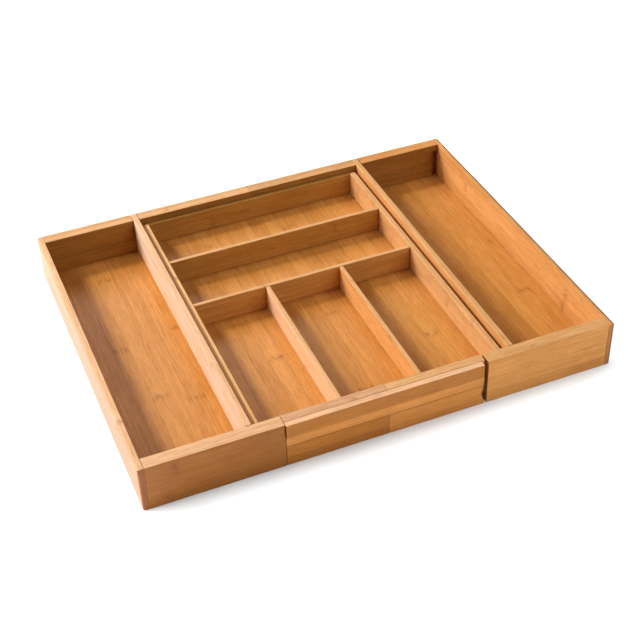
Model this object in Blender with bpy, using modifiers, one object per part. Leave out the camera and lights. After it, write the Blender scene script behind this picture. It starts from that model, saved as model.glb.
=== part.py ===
"""Expandable bamboo drawer organizer: a centre frame with a drop-in tray, and two sliding wings.

Frame of the part: X runs along the rails, -Y is the front, +Z is up, and Z = 0 is what it rests on.
The origin is the middle of the outline at that level, with both wings where they stand at rest.
The front and rear rails are alike, so their depths are given from the outer face inwards.
"""

import bpy

MM = 0.001

# Driving dimensions, in millimetres.
WIDTH = 568.0            # outer width at rest, over both end walls
DEPTH = 450.0            # over the outer faces of the wings' front and rear boards
HEIGHT = 60.0
GAP = 0.3                # between two pieces that touch
STOCK = 7.5              # thickness of the end walls, partitions and tray sides
THIN = 5.0               # thickness of the tray's ends and dividers

# Rails, in depth from the outer face.
RAIL_DEPTH = 16.0        # whole rail, outer face to inner face
WING_BOARD = 7.7         # upright part of a wing's board, under its lip
STRIP_DEPTH = 5.3        # outer strips of the centre frame
STRIP_PROUD = 2.4        # the front upper strip stands this far out of the wings' faces
GROOVE_DEPTH = 10.6      # bottom of the guide groove in a half rail
SHOULDER_DEPTH = 13.9    # inner face of a half rail above its shoulder

# Rails, in height.
LIP_UNDERSIDE = 50.8
GROOVE_LOW = 27.5
GROOVE_HIGH = 39.9
SHOULDER = 30.0          # above this a half rail is thinner beside the wings' compartments

# Floors.
WING_FLOOR_LOW = 6.0
WING_FLOOR_TOP = 11.1
CENTRE_FLOOR_LOW = 11.5
CENTRE_FLOOR_TOP = 16.4
TRAY_FLOOR_TOP = 20.9

# Places along X, as distances from the middle.
FRONT_BOARD_END = 121.4  # inner end of a wing's front board
REAR_BOARD_END_LEFT = 160.8    # inner ends of the wings' rear boards, close to the partitions
REAR_BOARD_END_RIGHT = 161.3
PARTITION_INNER = 153.0
HALF_RAIL_END_LEFT = 275.7
HALF_RAIL_END_RIGHT = 268.5
WING_FLOOR_END = 4.0
TONGUE_END = 187.0       # outer end of a wing's guide tongue
STOP_FACE = 262.8        # where the tongue meets its stop block
STOP_BLOCK = 5.4
RIGHT_FRONT_GAP = 2.7    # what the right wing's front board falls short of the rail when closed

# Front strips: flush with the half rails on the left, each sawn to its own length on the right.
FRONT_STRIPS_LEFT_END = -121.1
UPPER_STRIP_RIGHT_END = 115.2
UPPER_STRIP_LOW = 41.5   # leaves a shadow line over the spline
SPLINE_RIGHT_END = 117.5
LOWER_STRIP_RIGHT_END = 118.6
LOWER_STRIP_HEEL = 4.6   # how far the right lower strip's end leans back above its toe
HEEL_HEIGHT = 19.0

# Tray.
TRAY_HALF_WIDTH = 149.7
TRAY_SHIFT = -1.3        # it lies loose in the frame, a little to the left
TRAY_END_CLEARANCE = 0.6
TRAY_TOP = 53.5
TRAY_END_TOP = 51.5
FRONT_DIVIDER = 240.2    # front face of the front long divider, from the front of the wings
REAR_DIVIDER = 334.2

# The front strip's step moves the middle of the outline towards the front.
FRONT_Y = -(DEPTH - STRIP_PROUD) / 2
REAR_Y = FRONT_Y + DEPTH

EASE = 0.6               # eased edge of every board
OUTER_EASE = 2.4         # rounded outer edges of the end walls

PEACH = ("bamboo_peach", (0.83, 0.56, 0.33), 0.42)
GOLD = ("bamboo_gold", (0.74, 0.45, 0.21), 0.42)
TAN = ("bamboo_tan", (0.68, 0.41, 0.20), 0.45)
BROWN = ("bamboo_brown", (0.58, 0.33, 0.14), 0.45)


def clear_scene():
    for old in list(bpy.data.objects):
        bpy.data.objects.remove(old, do_unlink=True)


def new_collection(name):
    collection = bpy.data.collections.new(name)
    bpy.context.scene.collection.children.link(collection)
    return collection


def move_to(obj, collection):
    for old in list(obj.users_collection):
        old.objects.unlink(obj)
    collection.objects.link(obj)


def finish_material(tone):
    name, colour, roughness = tone
    material = bpy.data.materials.get(name)
    if material is None:
        material = bpy.data.materials.new(name)
        material.use_nodes = True
        shader = material.node_tree.nodes["Principled BSDF"]
        shader.inputs["Base Color"].default_value = (*colour, 1.0)
        shader.inputs["Roughness"].default_value = roughness
        shader.inputs["Metallic"].default_value = 0.0
    return material


def body(name, x=0.0):
    """An empty that a group of pieces hangs on; the wings slide along its X axis."""
    empty = bpy.data.objects.new(name, None)
    empty.location = (x * MM, 0.0, 0.0)
    PARTS.objects.link(empty)
    return empty


def box(name, x, y, z, collection):
    """A block between two X, two Y and two Z values, with its scale applied."""
    bpy.ops.mesh.primitive_cube_add(size=1.0)
    block = bpy.context.active_object
    block.name = name
    block.data.name = name
    block.location = [(low + high) / 2 * MM for low, high in (x, y, z)]
    block.scale = [abs(high - low) * MM for low, high in (x, y, z)]
    bpy.ops.object.transform_apply(location=False, rotation=False, scale=True)
    move_to(block, collection)
    return block


def cut(piece, label, x, y, z, lean=0.0):
    """Take a block out of a piece; lean turns the block about Y, in radians."""
    cutter = box(f"{piece.name}_{label}", x, y, z, CUTTERS)
    cutter.rotation_euler = (0.0, lean, 0.0)
    cutter.hide_render = True
    cutter.display_type = "WIRE"
    boolean = piece.modifiers.new(label, "BOOLEAN")
    boolean.operation = "DIFFERENCE"
    boolean.solver = "EXACT"
    boolean.object = cutter


def ease(piece, width=EASE):
    """Round the sharp edges a little, as sanding leaves them."""
    bevel = piece.modifiers.new("eased_edges", "BEVEL")
    bevel.width = width * MM
    bevel.segments = 2
    bevel.limit_method = "ANGLE"


def ease_outer_edges(piece, side):
    """Round an end wall more along its outer face than along its inner one."""
    weights = piece.data.attributes.new("bevel_weight_edge", "FLOAT", "EDGE")
    for edge in piece.data.edges:
        middle = sum(piece.data.vertices[v].co.x for v in edge.vertices) / 2
        outer = middle * side > STOCK * MM / 4
        weights.data[edge.index].value = 1.0 if outer else EASE / OUTER_EASE
    bevel = piece.modifiers.new("eased_edges", "BEVEL")
    bevel.width = OUTER_EASE * MM
    bevel.segments = 3
    bevel.limit_method = "WEIGHT"


def place(piece, parent, tone):
    piece.data.materials.append(finish_material(tone))
    piece.parent = parent
    piece.matrix_parent_inverse = parent.matrix_world.inverted()


def board(name, x, y, z, parent, tone, eased=EASE):
    """A plain board with eased edges, hung on its body."""
    piece = box(name, sorted(x), sorted(y), z, PARTS)
    place(piece, parent, tone)
    if eased:
        ease(piece, eased)
    return piece


def span(rail, outer, inner):
    """Turn two depths from a rail's outer face into a Y range."""
    if rail == "front":
        return (FRONT_Y + outer, FRONT_Y + inner)
    return (REAR_Y - inner, REAR_Y - outer)


def sides():
    return (("left", -1), ("right", 1))


def rear_board_end(side):
    return REAR_BOARD_END_LEFT if side < 0 else REAR_BOARD_END_RIGHT


def build_half_rail(rail, side_name, side, frame):
    """One half of a centre rail: full height in the middle, low enough outside for the wing's lip."""
    inside = PARTITION_INNER - GAP
    if rail == "front":
        inside = FRONT_BOARD_END - (GAP if side < 0 else RIGHT_FRONT_GAP)
    end = HALF_RAIL_END_LEFT if side < 0 else HALF_RAIL_END_RIGHT
    piece = board(f"{rail}_half_rail_{side_name}", (side * GAP / 2, side * end),
                  span(rail, STRIP_DEPTH + GAP, RAIL_DEPTH), (CENTRE_FLOOR_LOW, HEIGHT), frame, GOLD, 0.0)
    outside = sorted((side * inside, side * (end + 5)))
    cut(piece, "lip_rebate", outside, span(rail, 0, RAIL_DEPTH + 5), (LIP_UNDERSIDE - GAP, HEIGHT + 5))
    board_step = sorted((side * (inside + 0.01), side * (end + 6)))
    cut(piece, "board_rebate", board_step, span(rail, -1, WING_BOARD + GAP), (0, HEIGHT + 6))
    beside_wing = sorted((side * (PARTITION_INNER + STOCK + 1), side * (end + 8)))
    cut(piece, "shoulder", beside_wing, span(rail, SHOULDER_DEPTH, RAIL_DEPTH + 6), (SHOULDER, HEIGHT + 7))
    cut(piece, "guide_groove", (-end - 7, end + 7), span(rail, -2, GROOVE_DEPTH), (GROOVE_LOW, GROOVE_HIGH))
    ease(piece, 0.4)


def build_rail_strips(rail, frame):
    """The strips outside the half rails: upper strips, the spline that ties the halves, lower strips."""
    front = rail == "front"
    spline_x = (GAP - REAR_BOARD_END_LEFT, REAR_BOARD_END_RIGHT - GAP)
    if front:
        spline_x = (FRONT_STRIPS_LEFT_END, SPLINE_RIGHT_END)
        board("front_upper_strip", (FRONT_STRIPS_LEFT_END, UPPER_STRIP_RIGHT_END),
              span(rail, -STRIP_PROUD, STRIP_DEPTH), (UPPER_STRIP_LOW, HEIGHT), frame, BROWN)
    else:
        for side_name, side in sides():
            board(f"rear_upper_strip_{side_name}", (side * GAP / 2, side * (PARTITION_INNER - GAP)),
                  span(rail, 0, STRIP_DEPTH), (GROOVE_HIGH, HEIGHT), frame, BROWN)
    board(f"{rail}_spline_strip", spline_x, span(rail, 0, GROOVE_DEPTH - GAP),
          (GROOVE_LOW + GAP, GROOVE_HIGH - GAP), frame, GOLD)
    for side_name, side in sides():
        end = side * (rear_board_end(side) - GAP)
        if front:
            end = FRONT_STRIPS_LEFT_END if side < 0 else LOWER_STRIP_RIGHT_END
        strip = board(f"{rail}_lower_strip_{side_name}", (side * GAP / 2, end), span(rail, 0, STRIP_DEPTH),
                      (0, GROOVE_LOW), frame, BROWN, eased=0.0)
        if front and side > 0:
            cut_leaning_end(strip, end)
        ease(strip)


def cut_leaning_end(strip, end):
    """Saw the strip's free end back above its toe."""
    heel = (end - LOWER_STRIP_HEEL, end + 20)
    cut(strip, "heel", heel, span("front", -5, STRIP_DEPTH + 5), (HEEL_HEIGHT, HEIGHT))
    lean = -LOWER_STRIP_HEEL / HEEL_HEIGHT
    reach = 20.0
    middle = end - LOWER_STRIP_HEEL / 2 + reach / 2
    cut(strip, "toe", (middle - reach / 2, middle + reach / 2), span("front", -6, STRIP_DEPTH + 6),
        (-10, HEEL_HEIGHT + 10), lean=lean)


def build_partition(side_name, side, frame):
    """A full-height board between the rails; behind, it reaches over the half rail to the outer face."""
    x = (side * PARTITION_INNER, side * (PARTITION_INNER + STOCK))
    y = (FRONT_Y + RAIL_DEPTH + GAP, REAR_Y)
    piece = board(f"{side_name}_partition", x, y, (CENTRE_FLOOR_TOP + GAP, HEIGHT), frame, PEACH, eased=0.0)
    across = (-WIDTH / 2, WIDTH / 2)
    cut(piece, "rail_notch", across, span("rear", WING_BOARD, RAIL_DEPTH + GAP), (0, LIP_UNDERSIDE))
    cut(piece, "strip_notch", across, span("rear", -5, WING_BOARD + 0.01), (0, GROOVE_HIGH))
    ease(piece)


def build_centre_frame():
    frame = body("centre_frame")
    for rail in ("front", "rear"):
        for side_name, side in sides():
            build_half_rail(rail, side_name, side, frame)
            stop = (side * STOP_FACE, side * (STOP_FACE + STOP_BLOCK))
            board(f"{rail}_stop_block_{side_name}", stop, span(rail, WING_BOARD + GAP, GROOVE_DEPTH - GAP),
                  (GROOVE_LOW + GAP, GROOVE_HIGH - GAP), frame, BROWN, eased=0.0)
        build_rail_strips(rail, frame)
    for side_name, side in sides():
        build_partition(side_name, side, frame)
    reach = PARTITION_INNER + STOCK
    between = (FRONT_Y + RAIL_DEPTH + GAP, REAR_Y - RAIL_DEPTH - GAP)
    board("centre_base_panel", (-reach, reach), between, (CENTRE_FLOOR_LOW, CENTRE_FLOOR_TOP), frame, TAN,
          eased=0.3)


def build_tray():
    """The drop-in tray: two long compartments behind three short ones."""
    tray = body("tray")
    front = FRONT_Y + RAIL_DEPTH + GAP + TRAY_END_CLEARANCE
    rear = REAR_Y - RAIL_DEPTH - GAP - TRAY_END_CLEARANCE
    half = TRAY_HALF_WIDTH
    low = TRAY_FLOOR_TOP + GAP
    board("tray_base", (-half, half), (front, rear), (CENTRE_FLOOR_TOP + GAP, TRAY_FLOOR_TOP), tray, TAN,
          eased=0.3)
    board("tray_front_wall", (-half, half), (front, front + THIN - 0.1), (low, TRAY_END_TOP), tray, GOLD)
    board("tray_rear_wall", (-half, half), (rear - THIN + 0.1, rear), (low, TRAY_END_TOP), tray, BROWN)
    inner_front = front + THIN - 0.1 + GAP
    inner_rear = rear - THIN + 0.1 - GAP
    for side_name, side in sides():
        board(f"tray_{side_name}_wall", (side * (half - STOCK), side * half), (inner_front, inner_rear),
              (low, TRAY_TOP), tray, PEACH)
    inner = half - STOCK - GAP
    for label, start in (("front", FRONT_DIVIDER), ("rear", REAR_DIVIDER)):
        y = (FRONT_Y + start, FRONT_Y + start + THIN)
        board(f"long_divider_{label}", (-inner, inner), y, (low, TRAY_TOP), tray, GOLD)
    short_pitch = (2 * inner - 2 * THIN) / 3 + THIN
    for side_name, side in sides():
        middle = side * short_pitch / 2
        board(f"short_divider_{side_name}", (middle - THIN / 2, middle + THIN / 2),
              (inner_front, FRONT_Y + FRONT_DIVIDER - GAP), (low, TRAY_TOP), tray, PEACH)
    tray.location.x = TRAY_SHIFT * MM


def build_wing(side_name, side):
    """A three-sided wing: end wall, lipped front and rear boards, a floor and two guide tongues."""
    wing = body(f"{side_name}_wing", side * (WIDTH / 2))
    outer = WIDTH / 2
    wall = board(f"{side_name}_end_wall", (side * (outer - STOCK), side * outer), (FRONT_Y, REAR_Y),
                 (0, HEIGHT), wing, PEACH, eased=0.0)
    ease_outer_edges(wall, side)
    root = side * (outer - STOCK - GAP)
    for rail, end in (("front", FRONT_BOARD_END), ("rear", rear_board_end(side))):
        piece = board(f"{side_name}_{rail}_board", (side * end, root), span(rail, 0, RAIL_DEPTH),
                      (0, HEIGHT), wing, GOLD, eased=0.0)
        cut(piece, "below_lip", (-outer - 5, outer + 5), span(rail, WING_BOARD, RAIL_DEPTH + 5),
            (-5, LIP_UNDERSIDE))
        ease(piece)
        board(f"{side_name}_{rail}_tongue", (side * (end + 4), side * TONGUE_END),
              span(rail, WING_BOARD + GAP, GROOVE_DEPTH - GAP), (GROOVE_LOW + 0.5, GROOVE_HIGH - 0.5),
              wing, BROWN, eased=0.0)
    between = (FRONT_Y + WING_BOARD + GAP, REAR_Y - WING_BOARD - GAP)
    board(f"{side_name}_base_panel", (side * WING_FLOOR_END, root), between,
          (WING_FLOOR_LOW, WING_FLOOR_TOP), wing, TAN, eased=0.3)


clear_scene()
PARTS = new_collection("drawer_organizer")
CUTTERS = new_collection("cutters")
build_centre_frame()
build_tray()
for wing_name, wing_side in sides():
    build_wing(wing_name, wing_side)
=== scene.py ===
"""Looks for the expandable bamboo drawer organizer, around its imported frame."""

import math

import bmesh
import bpy
from mathutils import Matrix, Vector


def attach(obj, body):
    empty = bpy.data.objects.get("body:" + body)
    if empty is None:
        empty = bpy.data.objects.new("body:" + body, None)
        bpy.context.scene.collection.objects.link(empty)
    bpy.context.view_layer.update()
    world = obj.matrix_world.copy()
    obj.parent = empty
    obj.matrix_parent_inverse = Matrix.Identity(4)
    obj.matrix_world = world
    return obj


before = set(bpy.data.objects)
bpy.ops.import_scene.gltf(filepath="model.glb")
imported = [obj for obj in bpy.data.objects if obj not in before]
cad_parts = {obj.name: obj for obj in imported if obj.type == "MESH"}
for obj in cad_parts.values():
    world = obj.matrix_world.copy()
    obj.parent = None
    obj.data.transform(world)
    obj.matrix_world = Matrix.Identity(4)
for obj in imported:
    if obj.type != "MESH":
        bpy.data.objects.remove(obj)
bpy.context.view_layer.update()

MM = 0.001

# Camera: the photograph's angle, as a distance and two angles about a point near the object's foot.
AIM = Vector((0.0085, -0.00375, -0.0039))
AZIMUTH = math.radians(-21.35)
ELEVATION = math.radians(39.12)
ROLL = math.radians(-2.10)
DISTANCE = 1.5921
LENS = 72.43


# ---------------------------------------------------------------- shader nodes

class Tree:
    """Short calls for the shader nodes that the bamboo and the floor are made of."""

    def __init__(self, tree):
        self.tree = tree

    def node(self, kind, **settings):
        made = self.tree.nodes.new(kind)
        for key, value in settings.items():
            setattr(made, key, value)
        return made

    def feed(self, socket, value):
        if isinstance(value, bpy.types.NodeSocket):
            self.tree.links.new(value, socket)
        elif value is not None:
            socket.default_value = value

    def math(self, operation, a, b=None, c=None, clamp=False):
        made = self.node("ShaderNodeMath", operation=operation, use_clamp=clamp)
        for socket, value in zip(made.inputs, (a, b, c)):
            self.feed(socket, value)
        return made.outputs[0]

    def vector(self, operation, a, b=None):
        made = self.node("ShaderNodeVectorMath", operation=operation)
        self.feed(made.inputs[0], a)
        self.feed(made.inputs[1], b)
        return made.outputs[0]

    def split(self, value):
        made = self.node("ShaderNodeSeparateXYZ")
        self.feed(made.inputs[0], value)
        return made.outputs

    def join(self, x, y, z):
        made = self.node("ShaderNodeCombineXYZ")
        for socket, value in zip(made.inputs, (x, y, z)):
            self.feed(socket, value)
        return made.outputs[0]

    def noise(self, where, stretch=None, detail=2.0, roughness=0.5):
        if stretch is not None:
            where = self.vector("MULTIPLY", where, stretch)
        made = self.node("ShaderNodeTexNoise", noise_dimensions="3D")
        self.feed(made.inputs["Vector"], where)
        made.inputs["Scale"].default_value = 1.0
        made.inputs["Detail"].default_value = detail
        made.inputs["Roughness"].default_value = roughness
        return made.outputs[0]

    def random(self, where):
        made = self.node("ShaderNodeTexWhiteNoise", noise_dimensions="3D")
        self.feed(made.inputs["Vector"], where)
        return made.outputs["Value"], made.outputs["Color"]

    def ramp(self, value, low, high, to_low=0.0, to_high=1.0):
        made = self.node("ShaderNodeMapRange", interpolation_type="SMOOTHSTEP")
        self.feed(made.inputs["Value"], value)
        for name, number in (("From Min", low), ("From Max", high), ("To Min", to_low), ("To Max", to_high)):
            self.feed(made.inputs[name], number)
        return made.outputs[0]

    def mix(self, share, a, b, blend="MIX"):
        made = self.node("ShaderNodeMix", data_type="RGBA", blend_type=blend)
        self.feed(made.inputs[0], share)
        self.feed(made.inputs[6], a)
        self.feed(made.inputs[7], b)
        return made.outputs[2]


def bamboo_group():
    """Pressed bamboo: glued strips of split cane, each with its own tone, fibres and knuckles."""
    group = bpy.data.node_groups.new("pressed_bamboo", "ShaderNodeTree")
    face = group.interface
    face.new_socket("Place", in_out="INPUT", socket_type="NodeSocketVector")
    for name in ("Strip Width", "Strip Depth", "Seed", "Contrast", "Knuckles", "Facing Up", "Facing Along"):
        face.new_socket(name, in_out="INPUT", socket_type="NodeSocketFloat")
    for name in ("Light", "Deep", "Edge Light", "Edge Deep", "Scar", "End"):
        face.new_socket(name, in_out="INPUT", socket_type="NodeSocketColor")
    face.new_socket("Color", in_out="OUTPUT", socket_type="NodeSocketColor")
    face.new_socket("Roughness", in_out="OUTPUT", socket_type="NodeSocketFloat")
    face.new_socket("Height", in_out="OUTPUT", socket_type="NodeSocketFloat")

    t = Tree(group)
    given = t.node("NodeGroupInput").outputs
    place = given["Place"]
    along, across, depth = t.split(place)

    # Which strip a point is in.
    sway = t.math("MULTIPLY", t.math("SUBTRACT", t.noise(place, (5.0, 9.0, 9.0), detail=1.0), 0.5), 0.0012)
    lane = t.math("ADD", t.math("DIVIDE", t.math("ADD", across, sway), given["Strip Width"]), given["Seed"])
    layer = t.math("ADD", t.math("DIVIDE", depth, given["Strip Depth"]), given["Seed"])
    strip = t.join(t.math("FLOOR", lane), t.math("FLOOR", layer), given["Seed"])
    chance, chances = t.random(strip)
    chance_two, chance_three, chance_four = t.split(chances)

    # Glue seams between strips.
    seam = t.math("PINGPONG", lane, 0.5)
    seam = t.math("MULTIPLY", seam, given["Strip Width"])
    seam = t.ramp(seam, 0.0, 0.00055, 1.0, 0.0)

    # Fibres, stretched along the cane and different in each strip.
    own = t.vector("ADD", place, t.vector("MULTIPLY", chances, (7.0, 5.0, 3.0)))
    broad = t.noise(own, (2.5, 190.0, 190.0), detail=3.0, roughness=0.6)
    fibre = t.noise(own, (16.0, 620.0, 620.0), detail=3.0, roughness=0.7)
    fleck = t.noise(own, (70.0, 900.0, 900.0), detail=2.0, roughness=0.6)
    bundle = t.noise(own, (45.0, 1900.0, 1900.0), detail=1.0)
    cloud = t.noise(own, (14.0, 40.0, 40.0), detail=3.0, roughness=0.6)

    # Knuckles: a soft brown band across the strip, broken up, with a thin scar in it.
    pitch = t.ramp(chance_two, 0.0, 1.0, 0.24, 0.38)
    waver = t.math("MULTIPLY", t.math("SUBTRACT", t.noise(own, (0.0, 110.0, 110.0), detail=1.0), 0.5), 0.016)
    knot = t.math("ADD", t.math("ADD", along, waver), t.math("MULTIPLY", chance_three, 3.0))
    knot = t.math("MULTIPLY", t.math("PINGPONG", t.math("DIVIDE", knot, pitch), 0.5), pitch)
    smudge = t.noise(own, (110.0, 240.0, 240.0), detail=2.0, roughness=0.6)
    scar = t.math("MULTIPLY", t.ramp(knot, 0.0002, 0.0016, 1.0, 0.0), t.ramp(smudge, 0.38, 0.62))
    band = t.math("MULTIPLY", t.ramp(knot, 0.001, 0.008, 1.0, 0.0), t.ramp(smudge, 0.25, 0.75))
    shown = t.math("MULTIPLY", t.ramp(chance_four, 0.3, 0.6), given["Knuckles"])
    scar = t.math("MULTIPLY", scar, shown)
    band = t.math("MULTIPLY", band, shown)

    # Tone: 0 is the palest cane of the board and 1 the brownest.
    tone = t.math("MULTIPLY", t.math("SUBTRACT", chance, 0.5), 0.34)
    tone = t.math("ADD", tone, t.math("MULTIPLY", t.math("SUBTRACT", broad, 0.5), 1.0))
    tone = t.math("ADD", tone, t.math("MULTIPLY", t.math("SUBTRACT", fibre, 0.5), 1.6))
    tone = t.math("ADD", tone, t.math("MULTIPLY", t.math("SUBTRACT", fleck, 0.5), 1.3))
    tone = t.math("ADD", tone, t.math("MULTIPLY", t.math("SUBTRACT", cloud, 0.5), 1.3))
    tone = t.math("MULTIPLY", t.math("MULTIPLY", tone, given["Contrast"]), 1.35)
    tone = t.math("ADD", tone, 0.5, clamp=True)
    # Faces that look up take the paler edge colours: a painted sheen on the top edges.
    face_colour = t.mix(tone, given["Light"], given["Deep"])
    sheen_edge_colour = t.mix(tone, given["Edge Light"], given["Edge Deep"])
    colour = t.mix(t.ramp(given["Facing Up"], 0.35, 0.95), face_colour, sheen_edge_colour)
    dark = t.math("MULTIPLY", t.ramp(bundle, 0.52, 0.72), 0.26)
    dark = t.math("ADD", dark, t.math("MULTIPLY", scar, 0.3))
    dark = t.math("ADD", dark, t.math("MULTIPLY", band, 0.42))
    dark = t.math("ADD", dark, t.math("MULTIPLY", seam, 0.3), clamp=True)
    colour = t.mix(dark, colour, given["Scar"])

    # End grain is browner, with the dots of the cut fibres.
    dots = t.noise(place, (0.0, 1500.0, 1500.0), detail=1.0)
    end = t.mix(t.ramp(dots, 0.45, 0.65), given["End"], given["Scar"])
    colour = t.mix(t.ramp(t.math("ABSOLUTE", given["Facing Along"]), 0.5, 0.95), colour, end)

    rough = t.math("ADD", 0.4, t.math("MULTIPLY", t.math("SUBTRACT", fibre, 0.5), 0.22))
    rough = t.math("ADD", rough, t.math("MULTIPLY", dark, 0.12))
    height = t.math("ADD", t.math("MULTIPLY", fibre, 0.5), t.math("MULTIPLY", bundle, 0.35))
    height = t.math("SUBTRACT", height, t.math("MULTIPLY", seam, 0.8))
    height = t.math("ADD", height, t.math("MULTIPLY", scar, 0.5))

    out = t.node("NodeGroupOutput")
    t.feed(out.inputs["Color"], colour)
    t.feed(out.inputs["Roughness"], rough)
    t.feed(out.inputs["Height"], height)
    return group


BAMBOO = bamboo_group()

# Cane colours, from the palest board to the brownest.
CREAM = (0.71, 0.49, 0.33)
PEACH = (0.68, 0.38, 0.19)
PALE = (0.60, 0.31, 0.12)
SUNNY = (0.66, 0.33, 0.085)
HONEY = (0.61, 0.27, 0.080)
SAND = (0.56, 0.275, 0.100)
ROSE = (0.50, 0.168, 0.064)
GOLD = (0.57, 0.235, 0.048)
OCHRE = (0.52, 0.26, 0.058)
COPPER = (0.58, 0.22, 0.038)
AMBER = (0.45, 0.180, 0.030)
RUSSET = (0.39, 0.129, 0.010)
UMBER = (0.40, 0.185, 0.036)
BROWN = (0.30, 0.095, 0.008)

# A board's own shades, as shares of its colour in red, green and blue.
LIGHT_SHARE = (1.14, 1.20, 1.35)
DEEP_SHARE = (0.86, 0.80, 0.68)
SCAR_SHARE = (0.45, 0.34, 0.24)
END_SHARE = (0.62, 0.55, 0.50)

# Painted shade: the dark colour laid on the right end wall's rounded edge, which faces away from the lights.
PAINTED_EDGE_SHADE = (0.07, 0.022, 0.004, 1.0)

# How each kind of board was cut: what runs along the cane, across the strips and through them.
ALONG_X = "XZY"
ALONG_Y = "YXZ"
UPRIGHT_Y = "YZX"


def shade(colour, shares):
    return (*(min(0.9, part * share) for part, share in zip(colour, shares)), 1.0)


def bamboo(name, cut, width, depth, seed, face, sheen_edge, contrast, knuckles, end, painted_shadow=None):
    """One board's material: strip sizes in millimetres, and the colours of its faces and top edge; the paler
    top edge is a painted sheen.
    The last argument paints the partition's shadow on a top edge: its colour left of a place along X, with the
    edge colour as the painted lit part right of it."""
    material = bpy.data.materials.new(name)
    material.use_nodes = True
    t = Tree(material.node_tree)
    shader = material.node_tree.nodes["Principled BSDF"]
    where = dict(zip("XYZ", t.split(t.node("ShaderNodeTexCoord").outputs["Object"])))
    facing = dict(zip("XYZ", t.split(t.node("ShaderNodeNewGeometry").outputs["Normal"])))
    grain = t.node("ShaderNodeGroup", node_tree=BAMBOO)
    t.feed(grain.inputs["Place"], t.join(*[where[axis] for axis in cut]))
    # Painted sheen: faces that look up, above the floor panels, get the paler edge colours.
    raised = t.ramp(where["Z"], 0.040, 0.044)
    t.feed(grain.inputs["Facing Up"], t.math("MULTIPLY", facing["Z"], raised))
    t.feed(grain.inputs["Facing Along"], facing[cut[0]])
    for key, value in (("Strip Width", width * MM), ("Strip Depth", depth * MM), ("Seed", seed),
                       ("Contrast", contrast), ("Knuckles", knuckles),
                       ("Light", shade(face, LIGHT_SHARE)), ("Deep", shade(face, DEEP_SHARE)),
                       ("Edge Light", shade(sheen_edge, LIGHT_SHARE)), ("Edge Deep", shade(sheen_edge, DEEP_SHARE)),
                       ("Scar", shade(face, SCAR_SHARE)), ("End", shade(end, END_SHARE))):
        grain.inputs[key].default_value = value
    # Painted shadow on the top edge: the shadow colour left of the place along X, and the lit edge colour right
    # of it.
    if painted_shadow is not None:
        shadow_colour, place = painted_shadow
        lit_side = t.ramp(where["X"], place - 0.2 * MM, place + 0.2 * MM)
        for key, shares in (("Edge Light", LIGHT_SHARE), ("Edge Deep", DEEP_SHARE)):
            t.feed(grain.inputs[key], t.mix(lit_side, shade(shadow_colour, shares), shade(sheen_edge, shares)))
    bump = t.node("ShaderNodeBump")
    bump.inputs["Strength"].default_value = 0.35
    bump.inputs["Distance"].default_value = 0.00025
    t.feed(bump.inputs["Height"], grain.outputs["Height"])
    # Painted shade: beyond X = 280.7 mm, the right end wall's rounded edge and the strip of top and end beside
    # it are darkened. This stands in for the shade on the side away from the lights; the flat right side is
    # left as it is.
    shaded_edge = t.math("MULTIPLY", t.ramp(where["X"], 0.2807, 0.2815), t.ramp(facing["X"], 0.93, 0.99, 1.0, 0.0))
    colour = t.mix(t.math("MULTIPLY", shaded_edge, 0.95), grain.outputs["Color"], PAINTED_EDGE_SHADE)
    t.feed(shader.inputs["Base Color"], colour)
    t.feed(shader.inputs["Roughness"], grain.outputs["Roughness"])
    t.feed(shader.inputs["Normal"], bump.outputs["Normal"])
    shader.inputs["Specular IOR Level"].default_value = 0.2
    return material
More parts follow.
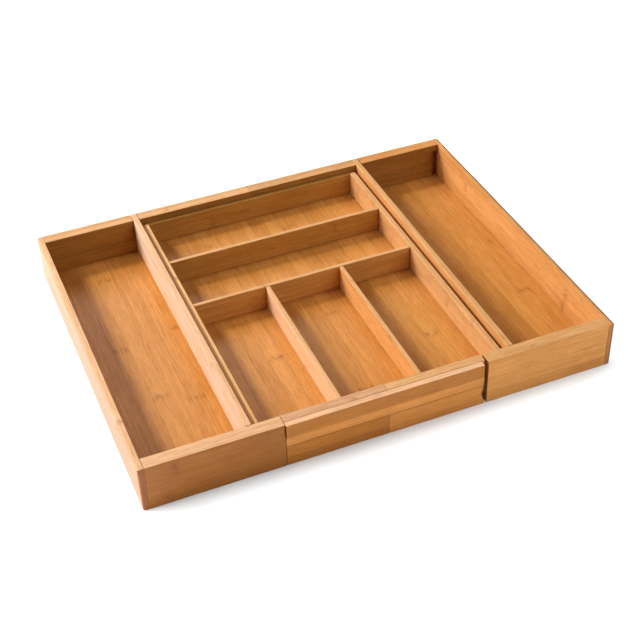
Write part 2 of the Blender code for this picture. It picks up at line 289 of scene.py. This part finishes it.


# ---------------------------------------------------------------- boards

# cut, strip width, strip depth, colour of the faces, colour of the top edge (a painted sheen), contrast,
# knuckles
BOARDS = {
    "left_end_wall": (UPRIGHT_Y, 20.3, 7.6, ROSE, PEACH, 0.8, 0.8),
    "right_end_wall": (UPRIGHT_Y, 20.3, 7.6, HONEY, HONEY, 0.8, 1.0),
    "left_partition": (UPRIGHT_Y, 20.3, 3.9, CREAM, PEACH, 0.7, 0.7),
    "right_partition": (UPRIGHT_Y, 20.3, 3.9, HONEY, PALE, 0.8, 0.9),
    "left_front_board": (ALONG_X, 20.0, 8.1, BROWN, PEACH, 0.8, 1.0),
    "right_front_board": (ALONG_X, 20.0, 8.1, GOLD, PALE, 0.8, 0.8),
    "left_rear_board": (ALONG_X, 20.0, 8.1, UMBER, PALE, 0.8, 0.8),
    "right_rear_board": (ALONG_X, 20.0, 8.1, UMBER, HONEY, 0.8, 0.8),
    "front_upper_strip": (ALONG_X, 10.1, 8.0, RUSSET, PEACH, 0.8, 0.6),
    "front_spline_strip": (ALONG_X, 12.5, 12.0, COPPER, COPPER, 0.7, 0.4),
    "front_lower_strip_left": (ALONG_X, 13.7, 6.0, RUSSET, RUSSET, 0.8, 1.0),
    "front_lower_strip_right": (ALONG_X, 13.7, 6.0, COPPER, COPPER, 0.8, 1.0),
    "front_half_rail_left": (ALONG_X, 20.0, 5.3, HONEY, PEACH, 0.8, 0.8),
    "front_half_rail_right": (ALONG_X, 20.0, 5.3, HONEY, PALE, 0.8, 0.8),
    "rear_half_rail_left": (ALONG_X, 10.1, 5.3, UMBER, PALE, 0.9, 0.7),
    "rear_half_rail_right": (ALONG_X, 10.1, 5.3, UMBER, PALE, 0.9, 0.7),
    "rear_upper_strip_left": (ALONG_X, 10.1, 5.3, AMBER, PALE, 0.9, 0.7),
    "rear_upper_strip_right": (ALONG_X, 10.1, 5.3, AMBER, PALE, 0.9, 0.7),
    "centre_base_panel": (ALONG_Y, 19.0, 5.2, GOLD, GOLD, 0.9, 1.0),
    "left_base_panel": (ALONG_Y, 19.0, 5.2, GOLD, GOLD, 0.9, 1.0),
    "right_base_panel": (ALONG_Y, 19.0, 5.2, GOLD, HONEY, 0.9, 1.0),
    "tray_base": (ALONG_Y, 18.6, 5.2, GOLD, GOLD, 0.9, 1.0),
    "tray_front_wall": (ALONG_X, 15.2, 5.0, GOLD, PALE, 0.8, 0.8),
    "tray_rear_wall": (ALONG_X, 15.2, 5.0, OCHRE, UMBER, 0.8, 0.8),
    # The tray's left wall: its top edge colour is the painted lit part of its top, beside the partition's
    # painted shadow.
    "tray_left_wall": (UPRIGHT_Y, 16.1, 3.8, HONEY, (0.88, 0.45, 0.16), 0.8, 0.8),
    "tray_right_wall": (UPRIGHT_Y, 16.1, 3.8, SAND, PALE, 0.8, 0.8),
    "long_divider_front": (ALONG_X, 16.1, 5.0, SUNNY, PALE, 0.8, 0.8),
    "long_divider_rear": (ALONG_X, 16.1, 5.0, OCHRE, PALE, 0.8, 0.8),
    "short_divider_left": (UPRIGHT_Y, 16.1, 5.0, PEACH, PALE, 0.8, 0.8),
    "short_divider_right": (UPRIGHT_Y, 16.1, 5.0, HONEY, PALE, 0.8, 0.8),
}
ENDS = {"left_end_wall": (0.42, 0.150, 0.015), "right_end_wall": (0.62, 0.25, 0.05)}
# Painted shadow: the partition's shadow on the tray's left wall top, in copper, left of X = -147.2 mm.
PAINTED_PARTITION_SHADOW = {"tray_left_wall": (COPPER, -147.2 * MM)}
PLAIN = (ALONG_X, 14.0, 6.0, GOLD, GOLD, 0.9, 0.6)


def dress_boards():
    for number, (name, board) in enumerate(sorted(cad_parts.items())):
        cut, width, depth, face, sheen_edge, contrast, knuckles = BOARDS.get(name, PLAIN)
        seed = 0.37 + 1.618 * number
        end = ENDS.get(name, face)
        material = bamboo("bamboo_" + name, cut, width, depth, seed, face, sheen_edge, contrast, knuckles, end,
                          PAINTED_PARTITION_SHADOW.get(name))
        board.data.materials.clear()
        board.data.materials.append(material)


# ---------------------------------------------------------------- glue lines

GLUE = 0.24 * MM


def glue_line(board_name, side, colour):
    """The glue between a wing's board and its end wall: as the board's end, a little lower than its edges."""
    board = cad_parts[board_name]
    mesh = bmesh.new()
    mesh.from_mesh(board.data)
    mesh.transform(board.matrix_world)
    end = max(side * corner.co.x for corner in mesh.verts)
    others = [face for face in mesh.faces if any(side * corner.co.x < end - 1e-5 for corner in face.verts)]
    bmesh.ops.delete(mesh, geom=others, context="FACES")
    grown = bmesh.ops.extrude_face_region(mesh, geom=mesh.faces[:])
    corners = [part for part in grown["geom"] if isinstance(part, bmesh.types.BMVert)]
    bmesh.ops.translate(mesh, verts=corners, vec=(side * GLUE, 0.0, 0.0))
    bmesh.ops.translate(mesh, verts=mesh.verts[:], vec=(side * 0.03 * MM, 0.0, 0.0))
    bmesh.ops.recalc_face_normals(mesh, faces=mesh.faces[:])
    data = bpy.data.meshes.new("glue_" + board_name)
    mesh.to_mesh(data)
    mesh.free()
    line = bpy.data.objects.new("glue_" + board_name, data)
    bpy.context.scene.collection.objects.link(line)
    data.materials.append(bamboo("bamboo_glue_" + board_name, ALONG_Y, 20.0, 8.1, 0.5, colour, colour, 0.5, 0.0,
                                 colour))
    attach(line, "left_wing" if board_name.startswith("left") else "right_wing")


def glue_lines():
    # Each glue line takes its board's top edge colour, with that colour's painted sheen.
    for board_name, side, colour in (("left_front_board", -1, PEACH), ("left_rear_board", -1, PALE),
                                     ("right_front_board", 1, HONEY), ("right_rear_board", 1, HONEY)):
        glue_line(board_name, side, colour)


# ---------------------------------------------------------------- studio

FLOOR_FILL = 0.85


def floor():
    bpy.ops.mesh.primitive_plane_add(size=80.0, location=(0.0, 0.0, -0.0002))
    ground = bpy.context.active_object
    ground.name = "floor"
    material = bpy.data.materials.new("pale_floor")
    material.use_nodes = True
    shader = material.node_tree.nodes["Principled BSDF"]
    shader.inputs["Base Color"].default_value = (0.88, 0.92, 0.94, 1.0)
    shader.inputs["Roughness"].default_value = 0.9
    shader.inputs["Specular IOR Level"].default_value = 0.1
    ground.data.materials.append(material)
    return ground


def softbox(name, place, target, size, power, colour=(1.0, 1.0, 1.0)):
    data = bpy.data.lights.new(name, "AREA")
    data.shape = "SQUARE"
    data.size = size
    data.energy = power
    data.color = colour
    lamp = bpy.data.objects.new(name, data)
    bpy.context.scene.collection.objects.link(lamp)
    lamp.location = place
    lamp.rotation_euler = (Vector(target) - Vector(place)).to_track_quat("-Z", "Y").to_euler()
    lamp.visible_camera = False
    return lamp


def studio(ground):
    """A broad light from behind and the left, weak light from elsewhere, and one for the floor alone."""
    world = bpy.data.worlds.new("studio")
    world.use_nodes = True
    background = world.node_tree.nodes.get("Background") or world.node_tree.nodes.new("ShaderNodeBackground")
    background.inputs["Color"].default_value = (1.0, 1.0, 1.0, 1.0)
    background.inputs["Strength"].default_value = 0.01
    out = world.node_tree.nodes.get("World Output") or world.node_tree.nodes.new("ShaderNodeOutputWorld")
    world.node_tree.links.new(background.outputs[0], out.inputs[0])
    bpy.context.scene.world = world
    middle = (0.0, 0.0, 0.0)
    softbox("rear", (0.2, 1.65, 1.4), middle, 0.9, 11.5)
    softbox("left_high", (-2.2, 0.3, 2.4), middle, 1.0, 29.0)
    softbox("key", (-2.2, 1.5, 2.45), middle, 0.4, 64.0)
    softbox("left_low", (-3.2, 0.5, 1.5), middle, 1.3, 20.0)
    softbox("left_rear_low", (-2.7, 1.75, 1.5), middle, 1.3, 105.0)
    softbox("front", (0.35, -1.6, 1.0), middle, 0.8, 5.0)
    softbox("front_low", (0.5, -1.5, 0.12), (0.0, 0.0, 0.05), 0.24, 1.4)
    softbox("front_right", (1.0, -1.3, 0.7), middle, 0.6, 3.0)
    softbox("right_top", (1.2, 0.0, 1.9), middle, 1.0, 11.0)
    fill = bpy.data.lights.new("floor_fill", "SUN")
    fill.energy = FLOOR_FILL
    fill.angle = math.radians(60.0)
    fill.color = (0.93, 0.98, 1.0)
    under = bpy.data.objects.new("floor_fill", fill)
    bpy.context.scene.collection.objects.link(under)
    lit = bpy.data.collections.new("floor_only")
    lit.objects.link(ground)
    under.light_linking.receiver_collection = lit


def camera():
    back = Vector((math.sin(AZIMUTH) * math.cos(ELEVATION), -math.cos(AZIMUTH) * math.cos(ELEVATION),
                   math.sin(ELEVATION)))
    right = Vector((math.cos(AZIMUTH), math.sin(AZIMUTH), 0.0))
    up = back.cross(right)
    turned_right = right * math.cos(ROLL) + up * math.sin(ROLL)
    turned_up = up * math.cos(ROLL) - right * math.sin(ROLL)
    data = bpy.data.cameras.new("camera")
    data.sensor_width = 36.0
    data.lens = LENS
    data.clip_start = 0.05
    data.clip_end = 120.0
    eye = bpy.data.objects.new("camera", data)
    bpy.context.scene.collection.objects.link(eye)
    basis = Matrix((turned_right, turned_up, back)).transposed().to_4x4()
    basis.translation = AIM + back * DISTANCE
    eye.matrix_world = basis
    bpy.context.scene.camera = eye


dress_boards()
glue_lines()
studio(floor())
camera()
bpy.context.scene.view_settings.view_transform = "Standard"
